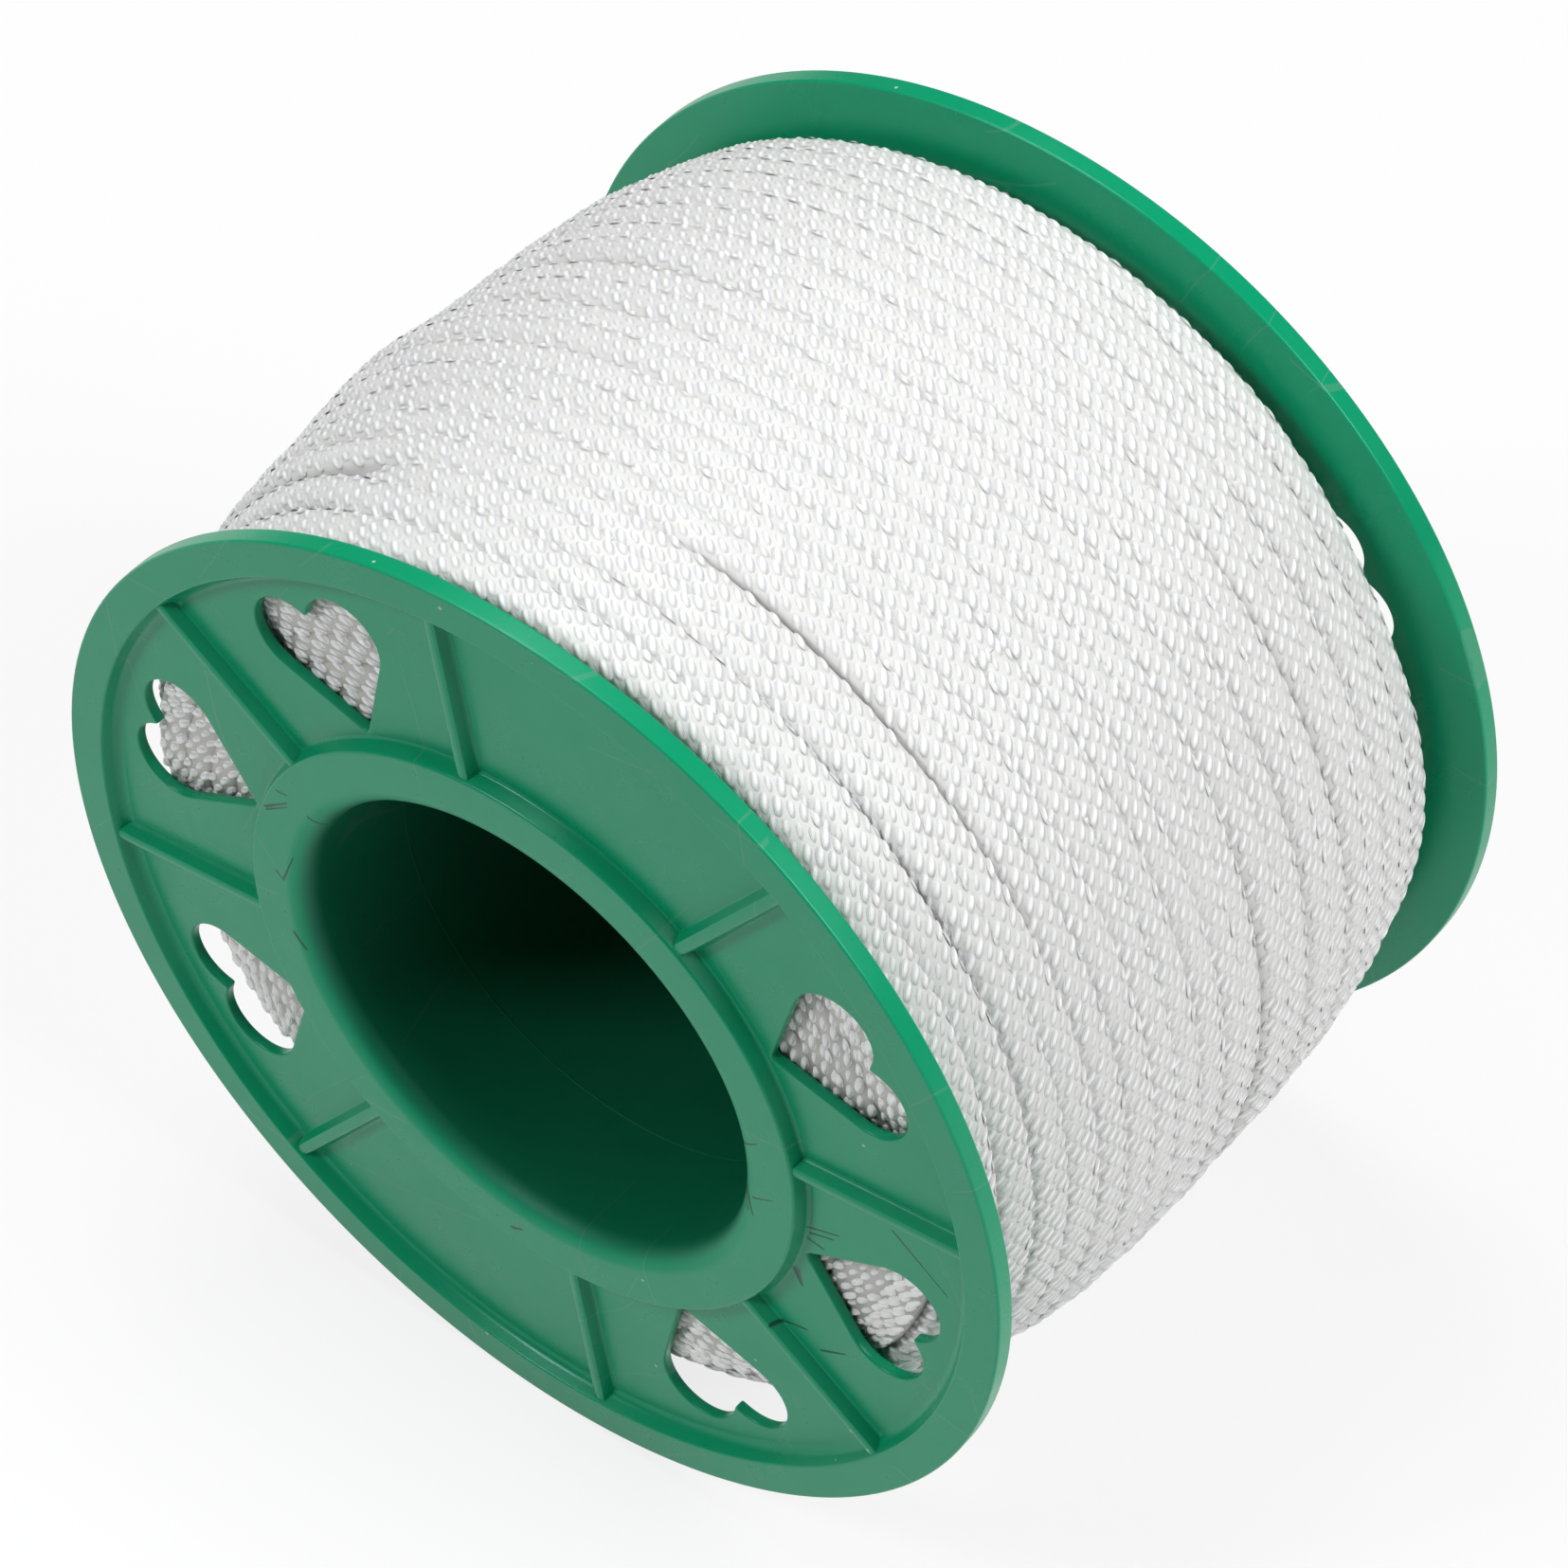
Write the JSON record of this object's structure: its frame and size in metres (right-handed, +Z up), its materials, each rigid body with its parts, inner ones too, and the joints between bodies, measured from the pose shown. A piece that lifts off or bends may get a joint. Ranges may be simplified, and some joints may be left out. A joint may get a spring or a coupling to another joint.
{
  "type": "fishing line spool",
  "caption": "Round spool of braided white line between two green plastic flanges with ribs and heart-shaped windows, round a wide open bore.",
  "frame": {"origin": "middle of the bore, half way between the two flange faces", "axes": "+Y along the spool's axis, from the near flange to the far flange; +Z up, with the spool lying on its two rims"},
  "size_m": [0.104, 0.074, 0.104],
  "materials": {
    "green_plastic": "moulded green polypropylene, satin gloss, fine scratches on the flange faces",
    "white_line": "white solid-braid nylon line, slightly glossy filaments"
  },
  "bodies": {
    "root": {"near_flange": "green_plastic", "far_flange": "green_plastic", "barrel": "green_plastic", "line_inner_layers": "white_line", "line_outer_layer": "white_line"}
  },
  "joints": []
}
